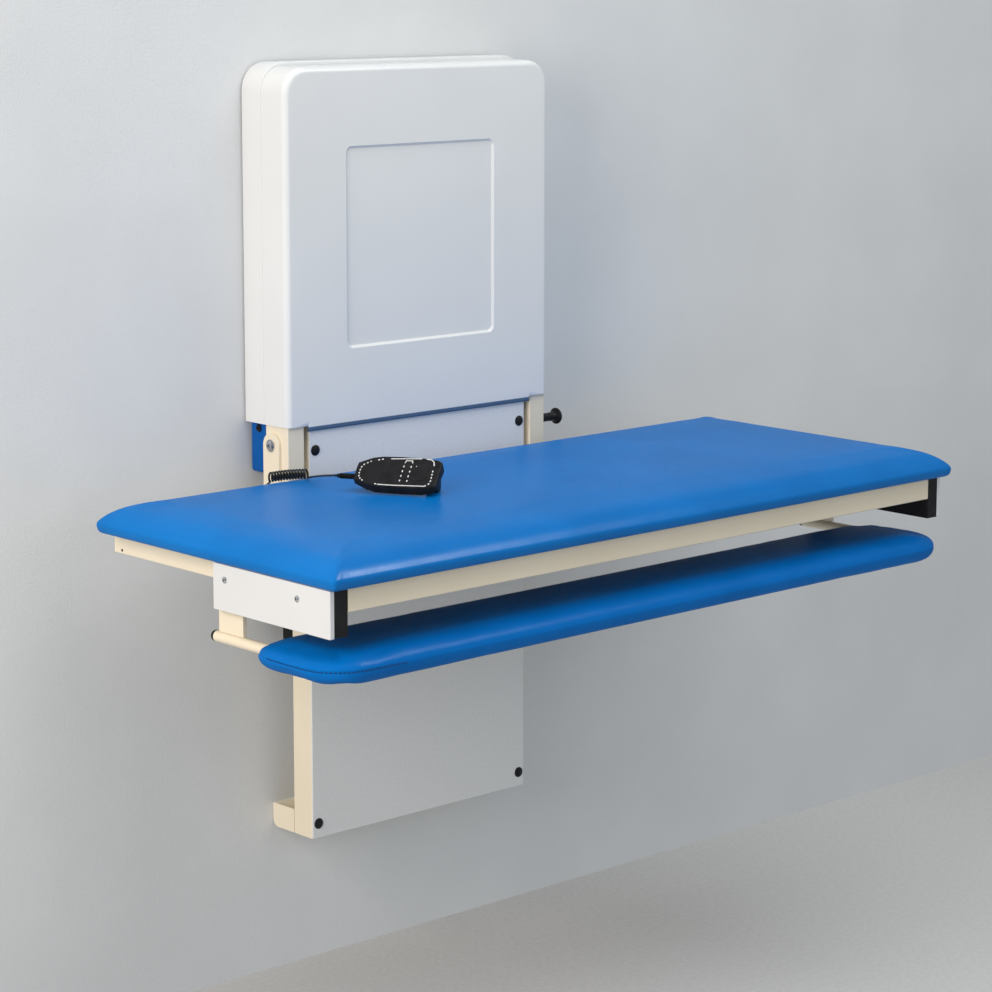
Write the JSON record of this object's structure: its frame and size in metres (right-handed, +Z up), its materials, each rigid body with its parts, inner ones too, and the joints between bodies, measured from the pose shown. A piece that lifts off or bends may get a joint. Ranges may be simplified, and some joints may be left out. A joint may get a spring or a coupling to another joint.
{
  "type": "wall-mounted changing bench",
  "caption": "Wall-mounted, height-adjustable changing bench: padded bench that folds up under a white lift hood, stowed padded guard, corded handset.",
  "frame": {"origin": "on the wall, in the middle of the lower wall rail's back face", "axes": "+X along the bench to the right, +Y into the wall, +Z up"},
  "size_m": [1.504, 0.7813, 1.4251],
  "materials": {
    "cream_paint": "ivory powder coat, satin",
    "white_abs": "off-white vacuum-formed shell, satin",
    "panel_laminate": "pale grey laminate",
    "white_polymer": "white polymer plate, fine matt",
    "blue_vinyl": "blue vinyl cover over foam, soft gloss",
    "blue_paint": "blue paint, satin",
    "black_plastic": "black moulded plastic",
    "black_rubber": "black rubber",
    "zinc_steel": "zinc-plated steel",
    "birch_board": "birch plywood",
    "grey_housing": "dark grey housing",
    "black_cord": "black cord sheath"
  },
  "bodies": {
    "wall_frame": {"lower_wall_rail": "cream_paint", "upper_wall_rail": "cream_paint", "left_column": "cream_paint", "right_column": "cream_paint", "front_panel": "panel_laminate", "drive_base": "cream_paint", "drive_motor": "grey_housing", "drive_tube": "zinc_steel", "control_box": "black_plastic"},
    "carriage": {"cross_beam": "blue_paint", "left_post": "cream_paint", "right_post": "cream_paint", "left_post_cap": "black_plastic", "right_post_cap": "black_plastic", "top_beam": "cream_paint", "lift_rod": "zinc_steel", "left_roller_plate": "zinc_steel", "right_roller_plate": "zinc_steel", "left_lower_roller": "black_plastic", "left_upper_roller": "black_plastic", "right_lower_roller": "black_plastic", "right_upper_roller": "black_plastic", "left_shoe": "black_plastic", "right_shoe": "black_plastic", "left_pivot_bolt": "zinc_steel", "right_pivot_bolt": "zinc_steel", "hood_rear": "white_abs", "hood_front": "white_abs"},
    "bench": {"front_rail": "cream_paint", "rear_rail": "cream_paint", "left_end_rail": "cream_paint", "right_end_rail": "cream_paint", "left_cross_bar": "cream_paint", "right_cross_bar": "cream_paint", "mid_cross_bar": "cream_paint", "deck_board": "birch_board", "mattress": "blue_vinyl", "left_hinge_plate": "cream_paint", "right_hinge_plate": "cream_paint", "left_stop": "black_rubber", "right_stop": "black_rubber", "lock_bush": "black_plastic", "left_guide": "black_plastic", "right_guide": "black_plastic", "left_side_plate": "white_polymer", "right_side_plate": "white_polymer", "handset": "black_plastic", "handset_hook": "black_plastic", "strain_relief": "black_plastic", "cord": "black_cord"},
    "guard": {"guard_pad": "blue_vinyl", "left_guard_arm": "cream_paint", "right_guard_arm": "cream_paint", "left_guard_tube": "cream_paint", "right_guard_tube": "cream_paint", "left_guard_cap": "black_plastic", "right_guard_cap": "black_plastic"},
    "lock_plunger": {"lock_knob": "black_plastic"},
    "up_key": {"key_up": "black_rubber"},
    "down_key": {"key_down": "black_rubber"}
  },
  "joints": [
    {"name": "lift", "type": "slide", "parent": "wall_frame", "child": "carriage", "axis": [0, 0, 1], "range_m": [-0.3, 0.08]},
    {"name": "bench_fold", "type": "hinge", "parent": "carriage", "child": "bench", "pos_m": [0, -0.0791, 0.7158], "axis": [-1, 0, 0], "range_deg": [0, 75], "deforming": ["cord"]},
    {"name": "guard_slide", "type": "slide", "parent": "bench", "child": "guard", "axis": [0, -1, 0], "range_m": [0, 0.225]},
    {"name": "lock_pull", "type": "slide", "parent": "bench", "child": "lock_plunger", "axis": [1, 0, 0], "range_m": [0, 0.008], "stiffness_N_per_m": 900, "springref_m": -0.004},
    {"name": "up_key_press", "type": "slide", "parent": "bench", "child": "up_key", "axis": [0.4589, 0.265, -0.848], "range_m": [0, 0.001], "stiffness_N_per_m": 1500, "springref_m": -0.0006},
    {"name": "down_key_press", "type": "slide", "parent": "bench", "child": "down_key", "axis": [0.4589, 0.265, -0.848], "range_m": [0, 0.001], "stiffness_N_per_m": 1500, "springref_m": -0.0006}
  ]
}
